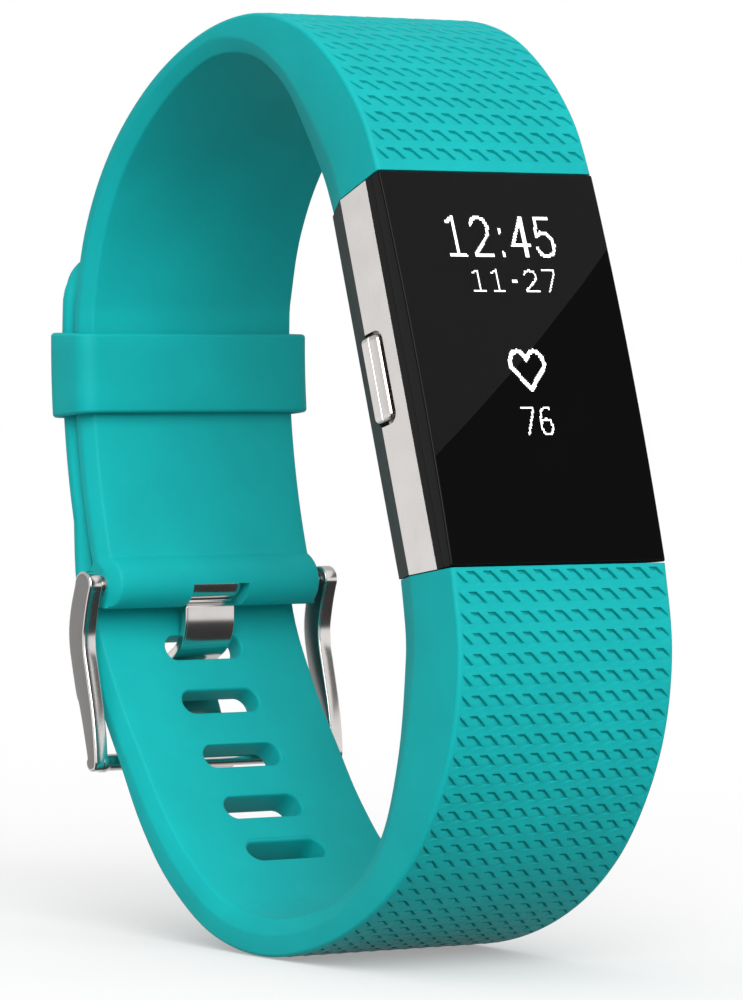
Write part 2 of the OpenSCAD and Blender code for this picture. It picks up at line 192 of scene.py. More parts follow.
def shade(mesh, sharp_deg=32):
    """Smooth shading, apart from edges that turn by more than sharp_deg."""
    mesh.shade_smooth()
    mesh.set_sharp_from_angle(angle=math.radians(sharp_deg))


def placed(name, data):
    """A new object in the scene that holds data."""
    made = bpy.data.objects.new(name, data)
    bpy.context.scene.collection.objects.link(made)
    return made


def piece(name, verts, faces, material=None, sharp_deg=32):
    """An object from vertices and faces, welded and shaded."""
    mesh = bpy.data.meshes.new(name)
    mesh.from_pydata([tuple(v) for v in verts], [], [tuple(f) for f in faces])
    weld(mesh)
    shade(mesh, sharp_deg)
    made = placed(name, mesh)
    if material:
        made.data.materials.append(material)
    return made


def block_cutter(corners):
    """A block from its eight corners: the first direction changes slowest, the last one fastest."""
    faces = [(0, 1, 3, 2), (4, 6, 7, 5), (0, 4, 5, 1), (2, 3, 7, 6), (0, 2, 6, 4), (1, 5, 7, 3)]
    return piece("cutter", corners, faces)


def tube_of_rings(rings, closed=False):
    """Vertices and faces of a skin over rings with the same number of points."""
    n, m = len(rings), len(rings[0])
    verts = np.concatenate(rings)
    faces = []
    for i in range(n if closed else n - 1):
        a, b = i * m, (i + 1) % n * m
        faces += [(a + k, a + (k + 1) % m, b + (k + 1) % m, b + k) for k in range(m)]
    if not closed:
        faces += [range(m), range(n * m - 1, (n - 1) * m - 1, -1)]
    return verts, faces


def cut_out(target, cutters, sharp_deg=32):
    """Takes the cutters' space out of target, and deletes them."""
    for cutter in cutters:
        step = target.modifiers.new("cut", "BOOLEAN")
        step.operation, step.solver, step.object = "DIFFERENCE", "EXACT", cutter
    graph = bpy.context.evaluated_depsgraph_get()
    mesh = bpy.data.meshes.new_from_object(target.evaluated_get(graph))
    target.modifiers.clear()
    target.data = mesh
    for cutter in cutters:
        bpy.data.objects.remove(cutter)
    weld(mesh)
    shade(mesh, sharp_deg)


def plate(name, loops, x_low, x_high, round_r, material, steps=3):
    """Plate across the strap from [y, z] loops, the outline first, with rounded edges."""
    flat = bpy.data.curves.new(name, "CURVE")
    flat.dimensions, flat.fill_mode = "2D", "BOTH"
    flat.extrude, flat.bevel_depth = (x_high - x_low) / 2 - round_r, round_r
    flat.offset, flat.bevel_resolution = -round_r, steps
    for loop in loops:
        spline = flat.splines.new("POLY")
        spline.points.add(len(loop) - 1)
        for point, (y, z) in zip(spline.points, loop):
            point.co = (y, z, 0, 1)
        spline.use_cyclic_u = True
    drawn = placed(name, flat)
    mesh = bpy.data.meshes.new_from_object(drawn.evaluated_get(bpy.context.evaluated_depsgraph_get()))
    bpy.data.objects.remove(drawn)
    turn = Matrix(((0, 0, 1, (x_low + x_high) / 2), (1, 0, 0, 0), (0, 1, 0, 0), (0, 0, 0, 1)))
    mesh.transform(turn)
    weld(mesh)
    shade(mesh, 40)
    made = placed(name, mesh)
    made.data.materials.append(material)
    return made


def flat_sides(made, material):
    """Gives the faces that look straight across the strap a material of their own; on the buckle's legs that is
    a darker copy of the steel, painted shade.
    """
    made.data.materials.append(material)
    for face in made.data.polygons:
        if abs(face.normal.x) > 0.99:
            face.material_index = 1


def join(name, parts):
    """One object from several, with the first one's materials."""
    work = bmesh.new()
    for part in parts:
        work.from_mesh(part.data)
    mesh = bpy.data.meshes.new(name)
    work.to_mesh(mesh)
    work.free()
    for material in parts[0].data.materials:
        mesh.materials.append(material)
    for part in parts:
        bpy.data.objects.remove(part)
    return placed(name, mesh)


def softened(loop, rounds=2):
    """Closed loop with its corners cut, so that a coarse outline runs smoothly."""
    for _ in range(rounds):
        ahead = np.roll(loop, -1, 0)
        loop = np.stack([0.75 * loop + 0.25 * ahead, 0.25 * loop + 0.75 * ahead], 1).reshape(-1, 2)
    return loop


def spin(name, profile, centre, material, sides=48):
    """Piece turned about an axis across the strap, from (x, radius) points."""
    around = np.linspace(0, 2 * math.pi, sides, endpoint=False)
    rings = [
        np.stack([np.full(sides, x), centre[0] + r * np.cos(around), centre[1] + r * np.sin(around)], 1)
        for x, r in profile
    ]
    return piece(name, *tube_of_rings(rings), material)


# ---- materials ----

def new_node(tree, kind, **values):
    """A node; values set its inputs, or its settings where it has no such input."""
    made = tree.nodes.new(kind)
    for key, value in values.items():
        if key in made.inputs:
            made.inputs[key].default_value = value
        else:
            setattr(made, key, value)
    return made


class Surface:
    """A new material: its node tree, its shader and short ways to add nodes."""

    def __init__(self, name, colour, **sockets):
        self.material = bpy.data.materials.new(name)
        self.material.use_nodes = True
        self.tree = self.material.node_tree
        self.shader = self.tree.nodes["Principled BSDF"]
        self.shader.inputs["Base Color"].default_value = (*colour, 1)
        for socket, value in sockets.items():
            self.shader.inputs[socket.replace("_", " ")].default_value = value

        self.node = partial(new_node, self.tree)
        self.link = self.tree.links.new

    def place(self, stretch=(1, 1, 1)):
        """Object coordinates, stretched."""
        where, mapping = self.node("ShaderNodeTexCoord"), self.node("ShaderNodeMapping", Scale=stretch)
        self.link(where.outputs["Object"], mapping.inputs["Vector"])
        return mapping.outputs["Vector"]

    def noise(self, size, detail=3, stretch=(1, 1, 1)):
        """Noise with grains about size long."""
        made = self.node("ShaderNodeTexNoise", Scale=1 / size, Detail=detail)
        self.link(self.place(stretch), made.inputs["Vector"])
        return made.outputs["Fac"]

    def ramp(self, factor, low, high, start=0.3, end=0.7):
        """Colours from low to high while factor goes from start to end."""
        made = self.node("ShaderNodeValToRGB")
        made.color_ramp.elements[0].position, made.color_ramp.elements[1].position = start, end
        made.color_ramp.elements[0].color, made.color_ramp.elements[1].color = (*low, 1), (*high, 1)
        self.link(factor, made.inputs["Fac"])
        return made.outputs["Color"]

    def vary(self, socket, factor, low, high):
        """Drives a number of the shader by a factor, between low and high."""
        made = self.node("ShaderNodeMapRange", **{"To Min": low, "To Max": high})
        self.link(factor, made.inputs["Value"])
        self.link(made.outputs["Result"], self.shader.inputs[socket])

    def bump(self, factor, height, strength=1.0):
        """Raises the surface by a factor, up to height."""
        made = self.node("ShaderNodeBump", Strength=strength, Distance=height)
        self.link(factor, made.inputs["Height"])
        self.link(made.outputs["Normal"], self.shader.inputs["Normal"])

    def colour(self, factor, low, high, start=0.3, end=0.7):
        """Drives the colour by a factor, as in ramp()."""
        self.link(self.ramp(factor, low, high, start, end), self.shader.inputs["Base Color"])


def shades(colour, share):
    """A colour made darker and lighter by a share."""
    return tuple(c * (1 - share) for c in colour), tuple(min(1, c * (1 + share)) for c in colour)


def silicone(name, colour):
    """Matte silicone rubber with a fine grain."""
    made = Surface(name, colour, Specular_IOR_Level=0.16, Sheen_Weight=0.02, Sheen_Roughness=0.5)
    made.colour(made.noise(6 * MM, 4), *shades(colour, 0.05))
    made.vary("Roughness", made.noise(0.9 * MM, 5), 0.5, 0.66)
    made.bump(made.noise(0.12 * MM, 4), 0.006 * MM)
    return made.material


def brushed(name, colour, along=2, rough=(0.2, 0.34), grain=0.05, height=0.004):
    """Metal with fine scratches along one axis, by number."""
    made = Surface(name, colour, Metallic=1.0)
    stretch = [1.0, 1.0, 1.0]
    stretch[along] = 0.04
    scratches = made.noise(grain * MM, 4, stretch)
    made.colour(made.noise(2.5 * MM, 3), *shades(colour, 0.04))
    made.vary("Roughness", scratches, *rough)
    made.bump(scratches, height * MM)
    return made.material


def moulded(name, colour, rough=(0.42, 0.58), grain=0.09, height=0.008, specular=0.4):
    """Matte plastic or rubber with a fine spark-eroded grain."""
    made = Surface(name, colour, Specular_IOR_Level=specular)
    made.colour(made.noise(3 * MM, 3), *shades(colour, 0.12))
    made.vary("Roughness", made.noise(0.5 * MM, 4), *rough)
    made.bump(made.noise(grain * MM, 3), height * MM)
    return made.material


def gloss(name, colour, rough=(0.03, 0.06), specular=0.5, **sockets):
    """Polished glass or gloss plastic with a trace of waviness."""
    made = Surface(name, colour, Specular_IOR_Level=specular, **sockets)
    made.colour(made.noise(8 * MM, 2), *shades(colour, 0.08))
    made.vary("Roughness", made.noise(2 * MM, 3), *rough)
    made.bump(made.noise(9 * MM, 1), 0.002 * MM, 0.3)
    return made.material


def circuit(name):
    """Green board with lighter copper runs under the resist."""
    made = Surface(name, (0.02, 0.16, 0.07))
    runs = made.node("ShaderNodeTexBrick", Scale=1 / (1.6 * MM), **{"Mortar Size": 0.06})
    made.link(made.place(), runs.inputs["Vector"])
    made.colour(runs.outputs["Fac"], (0.015, 0.13, 0.06), (0.05, 0.26, 0.12), 0.2, 0.8)
    made.vary("Roughness", made.noise(0.6 * MM, 3), 0.3, 0.42)
    return made.material


def lit(name, colour, strength):
    """A surface that gives off light of its own."""
    made = Surface(name, colour)
    made.shader.inputs["Emission Color"].default_value = (*colour, 1)
    made.shader.inputs["Emission Strength"].default_value = strength
    made.vary("Roughness", made.noise(0.4 * MM, 2), 0.4, 0.5)
    return made.material


TEAL = (0.004, 0.47, 0.475)
M = {
    "band": silicone("teal_silicone", TEAL),
    "steel": brushed("brushed_steel", (0.74, 0.71, 0.69)),
    "polished": brushed("polished_steel", (0.72, 0.69, 0.67), rough=(0.12, 0.2), height=0.002),
    # A darker copy of the buckle's steel, painted shade for the flat faces of its legs
    "buckle": brushed("buckle_steel_painted_shade", (0.25, 0.245, 0.24), rough=(0.3, 0.42)),
    "buckle_edge": brushed("buckle_edge_steel", (0.74, 0.71, 0.69), rough=(0.12, 0.2), height=0.001),
    "screw": brushed("dark_steel", (0.42, 0.42, 0.43), along=0),
    "glass": gloss("black_glass", (0.003, 0.003, 0.003), rough=(0.0, 0.008), specular=0.12),
    "bezel": gloss("black_bezel", (0.004, 0.004, 0.004), rough=(0.16, 0.24), specular=0.12),
    "panel": gloss("display_film", (0.02, 0.02, 0.025)),
    "housing": moulded("dark_housing", (0.053, 0.044, 0.043), specular=0.15),
    "seal": moulded("black_rubber", (0.012, 0.012, 0.012), rough=(0.6, 0.75)),
    "connector": moulded("black_connector", (0.03, 0.03, 0.032)),
    "board": circuit("green_board"),
    "shield": brushed("tinned_shield", (0.68, 0.68, 0.7), along=0, rough=(0.3, 0.42)),
    "battery": brushed("battery_foil", (0.6, 0.62, 0.65), along=0, rough=(0.34, 0.5), grain=0.2),
    "motor": brushed("motor_can", (0.7, 0.7, 0.72), along=1),
    "flex": gloss("amber_film", (0.5, 0.22, 0.04), rough=(0.2, 0.3)),
    "led": gloss("clear_green", (0.12, 0.62, 0.2), rough=(0.05, 0.12)),
    "photodiode": gloss("dark_diode", (0.03, 0.03, 0.06)),
    "window": gloss("tinted_window", (0.01, 0.012, 0.012), rough=(0.04, 0.1)),
    "gold": brushed("gold_plate", (0.88, 0.62, 0.26), along=1, rough=(0.15, 0.25)),
    "screen": lit("lit_pixels", (0.95, 0.97, 1.0), 1.0),
}
# The CAD nodes of each look
CAD_LOOKS = {
    "glass": "display_glass", "bezel": "front_bezel", "panel": "display_panel", "flex": "display_flex",
    "steel": "steel_frame upper_clip_spring lower_clip_spring spring_bar_tube spring_bar_pin_left "
             "spring_bar_pin_right spring_bar_spring",
    "housing": "rear_housing", "seal": "rear_gasket button_seal", "screw": "rear_screws",
    "board": "circuit_board sensor_board", "shield": "shield_can", "battery": "battery",
    "motor": "vibration_motor", "led": "sensor_leds", "photodiode": "photodiode",
    "window": "sensor_window", "gold": "charging_contacts",
    "connector": "tactile_switch upper_connector lower_connector",
    "polished": "side_button upper_clip lower_clip buckle_tongue",
    "band": "upper_band lower_band keeper_loop", "buckle": "buckle_frame",
}
BEVELS = {
    "display_glass": 0.16, "front_bezel": 0.06, "steel_frame": 0.07, "rear_housing": 0.16,
    "rear_screws": 0.05, "sensor_window": 0.22, "charging_contacts": 0.12, "upper_connector": 0.12,
    "lower_connector": 0.12, "upper_clip": 0.06, "lower_clip": 0.06, "spring_bar_pin_left": 0.08,
    "spring_bar_pin_right": 0.08, "battery": 0.4, "shield_can": 0.12, "vibration_motor": 0.15,
}


def dress_cad_nodes():
    """Materials on every CAD node, and softened edges on those that show."""
    for look, nodes in CAD_LOOKS.items():
        for node in nodes.split():
            mesh = NODES[node].data
            mesh.materials.clear()
            mesh.materials.append(M[look])
    for node, width in BEVELS.items():
        steps = NODES[node].modifiers
        steps.new("weld", "WELD").merge_threshold = 1e-6
        flat = steps.new("flat", "DECIMATE")
        flat.decimate_type, flat.angle_limit = "DISSOLVE", math.radians(0.3)
        bevel = steps.new("bevel", "BEVEL")
        bevel.width, bevel.segments, bevel.limit_method = width * MM, 3, "ANGLE"
        bevel.angle_limit = math.radians(35)
        steps.new("normals", "WEIGHTED_NORMAL").keep_sharp = False


# ---- straps ----

# A cut here is clear of the slots and connectors
CUT_X = 9 * MM
# A strap's points further out than this are on its two sides
SIDES_FROM = 10.55 * MM
COLUMNS = 13
COLUMN_PITCH = 1.655 * MM
ROW_PITCH = 1.6 * MM
MARK_H = 0.94 * MM
MARK_LEAN = 1.05 * MM
MARK_DEEP = 0.30 * MM
# Offsets across a mark, and the shares of its depth there along its top edge and down its diagonal
MARK_ACROSS = (-0.78, -0.66, -0.27, -0.19, -0.03, 0.05, 0.17)
TOP_EDGE = (0.0, 0.75, 0.85, 1.0, 1.0, 0.0, -0.14)
DIAGONAL = (0.0, 0.05, 0.18, 1.0, 1.0, 0.0, -0.14)
# Lines along a row of marks, with the share of the depth there and how much of it is the top edge
MARK_ROWS = ((0.0, 0.0, 1.0), (0.06, 0.9, 1.0), (0.19, 1.0, 1.0), (0.30, 1.0, 0.0), (0.55, 1.0, 0.0),
             (0.80, 1.0, 0.0), (0.88, 0.8, 0.3), (0.96, 0.0, 0.0), (1.28, 0.0, 0.0))
FIRST_MARK = 0.44 * MM
FIRST_ROW = 0.3 * MM
LOWER_ROWS, UPPER_ROWS = 34, 30
LAST_ROWS = 4  # over which the marks fade out
RIM_OUT = 0.3 * MM
TIP_R = 4 * MM
# The tail's end is rounded over this length, by this share of its thickness on each face
PINCH, PINCH_SHARE = 0.5 * MM, 0.42
# How gradually the sheet runs into the roll
ROLL_BLEND = 1.4 * MM
# How much narrower a slot is inside than at its rounded rims
SLOT_EASE = 0.08 * MM


def strap_lines(node):
    """The outer and inner faces of a strap as lines that start beside the tracker."""
    loop = loops_at(node, CUT_X)[0]
    longest = np.linalg.norm(np.roll(loop, -1, 0) - loop, axis=1).argmax()
    loop = np.roll(loop, -(longest + 1), axis=0)
    if loop[0] @ INTO[1:] > loop[-1] @ INTO[1:]:
        loop = loop[::-1]
    corners = [i for i in np.flatnonzero(turns(loop) > math.radians(40)) if 0 < i < len(loop) - 1]
    return Line(loop[: corners[0] + 1]), Line(loop[corners[-1]:][::-1])


def inner_places(outer, inner, s):
    """Places on the inner face that face the outer face at lengths s."""
    fine = np.linspace(0, inner.length, 4000)
    there = inner.at(fine)
    found = []
    for o, t in zip(outer.at(s), outer.along(s)):
        off = np.abs((there - o) @ t) + np.where(np.linalg.norm(there - o, axis=1) > 11 * MM, 1, 0)
        found.append(fine[off.argmin()])
    found = np.maximum.accumulate(found)
    settled = 14 * MM
    share = np.clip(s / settled, 0, 1)
    lead = share * np.interp(settled, s, found)
    return np.where(s < settled, lead * (1 - share**2) + found * share**2, found)


def half_width(node):
    """Half the strap's width at a place in y, from the CAD node's sides."""
    sides = points_of(node)
    sides = sides[np.abs(sides[:, 0]) > SIDES_FROM]
    sides = sides[np.argsort(sides[:, 1])]
    return lambda y: np.interp(y, sides[:, 1], np.abs(sides[:, 0]))


def mark_stations(start, rows, rising):
    """(length, distance from the top of a mark) for the lines of each row, in order of length."""
    found = []
    for row in range(rows):
        for down, _, _ in MARK_ROWS:
            there = down * MM if rising else ROW_PITCH - down * MM
            found.append((start + row * ROW_PITCH + there, down * MM))
    return sorted(found)


def outer_face(half, down, fade):
    """x and depth of the lines on the outer face; down is the distance from the top of a mark."""
    limit = half - RIM_OUT
    if down is None:
        lean, share, top = 0.0, 0.0, 0.0
    else:
        lean = MARK_LEAN * (down / MARK_H if down <= MARK_H else max(0, 1 - (down - MARK_H) / (0.5 * MM)))
        rows, shares, tops = zip(*MARK_ROWS)
        share, top = np.interp(down / MM, rows, shares) * fade, np.interp(down / MM, rows, tops)
    columns = -half + FIRST_MARK + lean + np.arange(COLUMNS) * COLUMN_PITCH
    x = (columns[:, None] + np.array(MARK_ACROSS) * MM).ravel()
    depth = np.tile(top * np.array(TOP_EDGE) + (1 - top) * np.array(DIAGONAL), COLUMNS) * share * MARK_DEEP
    low, high = -limit + 0.1 * MM, limit - 0.05 * MM
    depth *= np.clip((x - low) / (0.45 * MM), 0, 1) * np.clip((high - x) / (0.2 * MM), 0, 1)
    x = np.clip(x, low, high)
    return np.concatenate([[-limit], x, [limit]]), np.concatenate([[0], depth, [0]])


def chamfer(start, end, ease):
    """Points of a slanting facet between a side and the inner face, with its two edges eased."""
    a, b = np.array(start), np.array(end)
    slant = ease * (b - a) / np.linalg.norm(b - a)
    found = []
    for before, corner, after in ((a - (0, ease), a, a + slant), (b - slant, b, b - (ease, 0))):
        for t in (0, 0.35, 0.65, 1):
            found.append(tuple((1 - t) ** 2 * before + 2 * t * (1 - t) * corner + t * t * after))
    return found


def strap_ring(half, thick, rim_in, rim_deep, down, fade, narrow=1.0):
    """(x, depth) points round a strap; rim_in by rim_deep is the easing of its inner edges."""
    x, depth = outer_face(half, down, fade)
    rim = min(RIM_OUT, 0.3 * thick)
    rim_deep = min(rim_deep, 0.55 * thick)
    side = [(half - rim + rim * math.sin(a), rim - rim * math.cos(a)) for a in np.radians((25, 50, 75, 90))]
    side += chamfer((half, thick - rim_deep), (half - rim_in, thick), 0.3 * min(rim_in, rim_deep))
    inner = [(k * (half - rim_in), thick) for k in (0.9, 0.6, 0.3, 0, -0.3, -0.6, -0.9)]
    ring = list(zip(x, depth)) + side + inner + [(-a, b) for a, b in reversed(side)]
    return np.array(ring) * (narrow, 1)


def strap_rings(outer_points, inner_points, rings):
    """Places (x, depth) rings between matching points of the outer and inner faces."""
    made = []
    for o, i, ring in zip(outer_points, inner_points, rings):
        into = (i - o) / np.linalg.norm(i - o)
        made.append(np.column_stack([ring[:, 0], o + ring[:, 1:] * into]))
    return made


def inner_rim(s):
    """Width and depth of the inner edge's facet, which is largest beside the tracker's housing."""
    fall = (1 + math.cos(math.pi * min(s / (24 * MM), 1))) / 2
    return (0.62 + 0.58 * fall) * MM, (1.25 + 1.55 * fall) * MM


def pocket_cutter(node):
    """The room of a connector in the end of its strap, open to the tracker and to the wrist."""
    (x_low, x_high), (d_low, d_high) = extent(node, ACROSS), extent(node, INTO)
    points = points_of(node)
    ups = points @ UP
    middle = sum(extent("steel_frame", UP)) / 2
    side = np.sign(ups.mean() - middle)
    near, far = np.abs(ups - middle).min() - 1.5 * MM, np.abs(ups - middle).max()
    corners = [
        x * ACROSS + d * INTO + (middle + side * u) * UP
        for x in (x_low, x_high) for d in (d_low, d_high + 4 * MM) for u in (near, far)
    ]
    return block_cutter(corners)


def slot_cutter(centre, along, into, half_len, half_h, thick, rim):
    """A slot with rounded rims on both faces of a strap."""
    around = np.linspace(0, 2 * math.pi, 40, endpoint=False)
    curve = [(rim - rim * math.sin(a), rim - rim * math.cos(a)) for a in np.radians((0, 22, 45, 67, 90))]
    layers = [(rim * 1.15, -0.5 * MM)] + curve
    layers += [(grow, thick - depth) for grow, depth in reversed(layers)]
    rings = []
    for grow, depth in layers:
        r = half_h + grow
        u = r * np.cos(around) + np.sign(np.cos(around)) * (half_len - half_h)
        v = r * np.sin(around)
        yz = centre + v[:, None] * along + depth * into
        rings.append(np.column_stack([u, yz]))
    return piece("cutter", *tube_of_rings(rings))


def slots_in(node, outer, inner):
    """A cutter for each gap in the middle of the lower strap."""
    spans = []
    for loop in loops_at(node, 0.1 * MM):
        s, gap = outer.nearest(loop)
        if (gap < 0.03 * MM).any():
            spans.append((s[gap < 0.03 * MM].min(), s[gap < 0.03 * MM].max()))
    spans.sort()
    edges = points_of(node)
    edges = edges[np.abs(edges[:, 0]) < 6 * MM]
    cutters = []
    for (_, low), (high, _) in zip(spans, spans[1:]):
        s = (low + high) / 2
        centre, along = outer.at(s)[0], outer.along([s])[0]
        gap = np.linalg.norm(inner.at(inner_places(outer, inner, np.array([s, s + MM])))[0] - centre)
        near = edges[np.linalg.norm(edges[:, 1:] - centre, axis=1) < 2.5 * MM]
        into = np.array((-along[1], along[0]))
        into *= np.sign(into @ (BACK_CENTRE - centre + (0, -0.03)))
        half_len, half_h = np.abs(near[:, 0]).max() - SLOT_EASE, (high - low) / 2 - SLOT_EASE
        cutters.append(slot_cutter(centre, along, into, half_len, half_h, gap, SLOT_EASE + 0.2 * MM))
    return cutters


def lower_strap():
    """The lower strap with its marks, slots, connector room and rounded tail."""
    outer, inner = strap_lines("lower_band")
    width = half_width("lower_band")
    end = outer.length + (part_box("lower_band")[1].z - outer.points[-1][1]) / outer.along([outer.length])[0][1]
    marks = mark_stations(FIRST_ROW, LOWER_ROWS, True)
    last = marks[-1][0]
    plain = [(s, None) for s in np.linspace(last + 0.4 * MM, end - TIP_R, 56)]
    tip = [(end - TIP_R * (1 - math.sin(a)), None) for a in np.radians(np.linspace(12, 90, 12))]
    places = [(0.0, None)] + marks + plain + tip
    s = np.array([p[0] for p in places])
    o, i = outer.at(s), inner.at(inner_places(outer, inner, s))
    i[s > end - TIP_R] = o[s > end - TIP_R] + (i - o)[s <= end - TIP_R][-1]
    rings = []
    for k, (length, down) in enumerate(places):
        half, left = float(width(o[k][0])), end - length
        narrow = 1.0 if left > TIP_R else (half - TIP_R + math.sqrt(TIP_R**2 - (TIP_R - left) ** 2)) / half
        if left < PINCH:
            draw = PINCH_SHARE * (1 - math.sqrt(1 - (1 - left / PINCH) ** 2))
            o[k], i[k] = o[k] + draw * (i[k] - o[k]), i[k] + draw * (o[k] - i[k])
        fade = np.clip((last - length) / (LAST_ROWS * ROW_PITCH), 0, 1)
        thick = np.linalg.norm(i[k] - o[k])
        rings.append(strap_ring(half, thick, *inner_rim(length), down, fade, narrow))
    strap = piece("lower_strap", *tube_of_rings(strap_rings(o, i, rings)), M["band"])
    cut_out(strap, [pocket_cutter("lower_connector")] + slots_in("lower_band", outer, inner))
    return strap


def upper_strap():
    """The upper strap with its marks, connector room and the roll round the spring bar."""
    outer, inner = strap_lines("upper_band")
    width = half_width("upper_band")
    marks = mark_stations(FIRST_ROW, UPPER_ROWS, False)
    last = marks[-1][0]
    end = outer.length - 0.6 * MM
    s = [0.0] + [p[0] for p in marks] + list(np.linspace(last + 0.5 * MM, end, 34))
    downs = [None] + [p[1] for p in marks] + [None] * 34
    s = np.array(s)
    o, i = outer.at(s), inner.at(inner_places(outer, inner, s))
    # The roll round the spring bar, as a bulb at the end of the sheet
    roll_r = BAR[1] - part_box("upper_band")[0].z
    middle, sheet = (o[-1] + i[-1]) / 2, np.linalg.norm(o[-1] - i[-1]) / 2
    away = (BAR - middle) / np.linalg.norm(BAR - middle)
    reach = np.linalg.norm(BAR - middle)
    normal = np.array((away[1], -away[0])) * np.sign(np.array((away[1], -away[0])) @ (o[-1] - i[-1]))
    qs = list(np.linspace(-reach + 0.3 * MM, -0.2 * roll_r, 12))
    qs += list(roll_r * np.sin(np.radians(range(0, 90, 8))))
    for q in qs:
        ball = math.sqrt(max(roll_r**2 - q * q, 0))
        if q < 0:
            blend = np.clip(0.5 + 0.5 * (ball - sheet) / ROLL_BLEND, 0, 1)
            thick = sheet * (1 - blend) + ball * blend + ROLL_BLEND * blend * (1 - blend)
        else:
            thick = ball
        centre = BAR + q * away
        o = np.vstack([o, centre + thick * normal])
        i = np.vstack([i, centre - thick * normal])
    downs += [None] * len(qs)
    lengths = np.concatenate([s, np.full(len(qs), s[-1])])
    rings = []
    for k, down in enumerate(downs):
        half = float(width(o[k][0]))
        fade = np.clip((last - lengths[k]) / (LAST_ROWS * ROW_PITCH), 0, 1)
        thick = np.linalg.norm(i[k] - o[k])
        rings.append(strap_ring(half, thick, *inner_rim(lengths[k]), down, fade))
    strap = piece("upper_strap", *tube_of_rings(strap_rings(o, i, rings)), M["band"])
    cut_out(strap, [pocket_cutter("upper_connector")] + roll_cutters(roll_r))
    return strap


def bar_cutter(half, r, sides=48):
    """A round cutter about the spring bar's axis."""
    return spin("cutter", [(-half, r), (half, r)], BAR, None, sides)


def roll_cutters(roll_r):
    """The bore of the spring bar, and the notch that the tongue swings in."""
    eye_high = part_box("buckle_tongue")[1]
    half = eye_high.x + 0.35 * MM
    bore = bar_cutter(15 * MM, radius_of("spring_bar_tube"))
    eye = bar_cutter(half, eye_high.z - BAR[1] + 0.15 * MM)
    (y, z), wide = BAR, 2 * roll_r
    corners = [(x, a, b) for x in (-half, half) for a in (y - wide, y + wide) for b in (z - wide, z)]
    return [bore, eye, block_cutter(corners)]


def keeper():
    """Loop round both straps, swept about the centre of the round back."""
    points = points_of("keeper_loop")
    offset = points[:, 1:] - BACK_CENTRE
    radius, angle = np.linalg.norm(offset, axis=1), np.arctan2(offset[:, 1], offset[:, 0])
    half = np.abs(points[:, 0]).max()
    inner_half = np.abs(points[:, 0])[np.abs(points[:, 0]) < half - 0.6 * MM].max()
    wall = half - inner_half
    r_low, r_high = radius.min(), radius.max()
    mid, tall = (r_low + r_high) / 2, (r_high - r_low) / 2

    def rounded(a, b, r):
        """Points round the corners of a rectangle with half sides a and b and corner radius r."""
        found = []
        for cx, cy, start in ((a, b, 0), (-a, b, 90), (-a, -b, 180), (a, -b, 270)):
            cx, cy = cx - math.copysign(r, cx), cy - math.copysign(r, cy)
            for turn in np.radians(np.linspace(start, start + 90, 8)):
                found.append((cx + r * math.cos(turn), cy + r * math.sin(turn)))
        return np.array(found)

    outside, inside = rounded(half, tall, 1.5 * MM), rounded(inner_half, tall - wall, 0.7 * MM)
    gaps = np.linalg.norm(np.roll(outside, -1, 0) - outside, axis=1)
    steps = np.maximum(1, (gaps / (1.6 * MM)).astype(int))

    def filled(loop):
        """The loop with its corners' points, and points along its long straight sides."""
        ahead = np.roll(loop, -1, 0)
        return np.array([p + (q - p) * k / n for p, q, n in zip(loop, ahead, steps) for k in range(n)])

    outside, inside = filled(outside), filled(inside)
    start, stop, edge = angle.min(), angle.max(), 0.3 * MM
    # Round the wall's section: share from inside to outside, and distance in from the end
    section = [(0.5 - 0.5 * math.cos(a), edge * (1 - math.sin(a)))
               for a in np.radians(np.linspace(0, 180, 9))]
    quarters = [start + (stop - start) * k for k in (0.25, 0.5, 0.75)]
    heights = [(share, start + down / r_high) for share, down in section]
    heights += [(1.0, turn) for turn in quarters]
    heights += [(share, stop - down / r_high) for share, down in reversed(section)]
    heights += [(0.0, turn) for turn in reversed(quarters)]
    rings = []
    for a, b in zip(inside, outside):
        ring = []
        for share, turn in heights:
            x, r = a + (b - a) * share
            ring.append((x, *(BACK_CENTRE + (mid + r) * np.array((math.cos(turn), math.sin(turn))))))
        rings.append(np.array(ring))
    return piece("keeper", *tube_of_rings(rings, closed=True), M["band"])


# ---- buckle ----

def buckle():
    """Two cranked legs with rounded edges and blind holes for the pins, and the crossbar."""
    low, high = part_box("buckle_frame")
    inside = points_of("buckle_frame")[:, 0]
    inside = inside[(inside > 11 * MM) & (inside < high.x - 0.5 * MM)].min()
    outline = softened(loops_at("buckle_frame", (inside + high.x) / 2)[0])
    bar_loop = loops_at("buckle_frame", 0.1 * MM)[0]
    centre, r = (bar_loop.max(0) + bar_loop.min(0)) / 2, np.ptp(bar_loop[:, 0]) / 2
    legs = [plate("buckle_leg", [outline], *ends, 0.2 * MM, M["buckle_edge"])
            for ends in ((inside, high.x), (low.x, -inside))]
    pin_r = radius_of("spring_bar_pin_left") + 0.05 * MM
    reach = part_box("spring_bar_pin_right")[1].x + 0.05 * MM
    for leg in legs:
        cut_out(leg, [bar_cutter(reach, pin_r, 32)], 40)
        leg.data.materials.clear()
        leg.data.materials.append(M["buckle_edge"])
        # The legs' flat faces get the darker steel: painted shade
        flat_sides(leg, M["buckle"])
    into_leg = inside + 0.4 * MM
    swell = [(into_leg, r * 1.15), (inside - 0.02 * MM, r * 1.15), (inside - 0.15 * MM, r * 1.05),
             (inside - 0.4 * MM, r), (inside * 0.5, r * 0.99)]
    crossbar = spin("crossbar", [(-x, a) for x, a in swell] + [(x, a) for x, a in reversed(swell)],
                    centre, M["buckle_edge"])
    return join("buckle", legs + [crossbar])


def tongue():
    """The bent tongue with its eye and rounded edges."""
    low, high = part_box("buckle_tongue")
    loops = loops_at("buckle_tongue", 0.1 * MM)
    return plate("tongue", [softened(loops[0], 1)] + [loops[1]], low.x, high.x, 0.2 * MM, M["polished"])


# ---- tracker ----

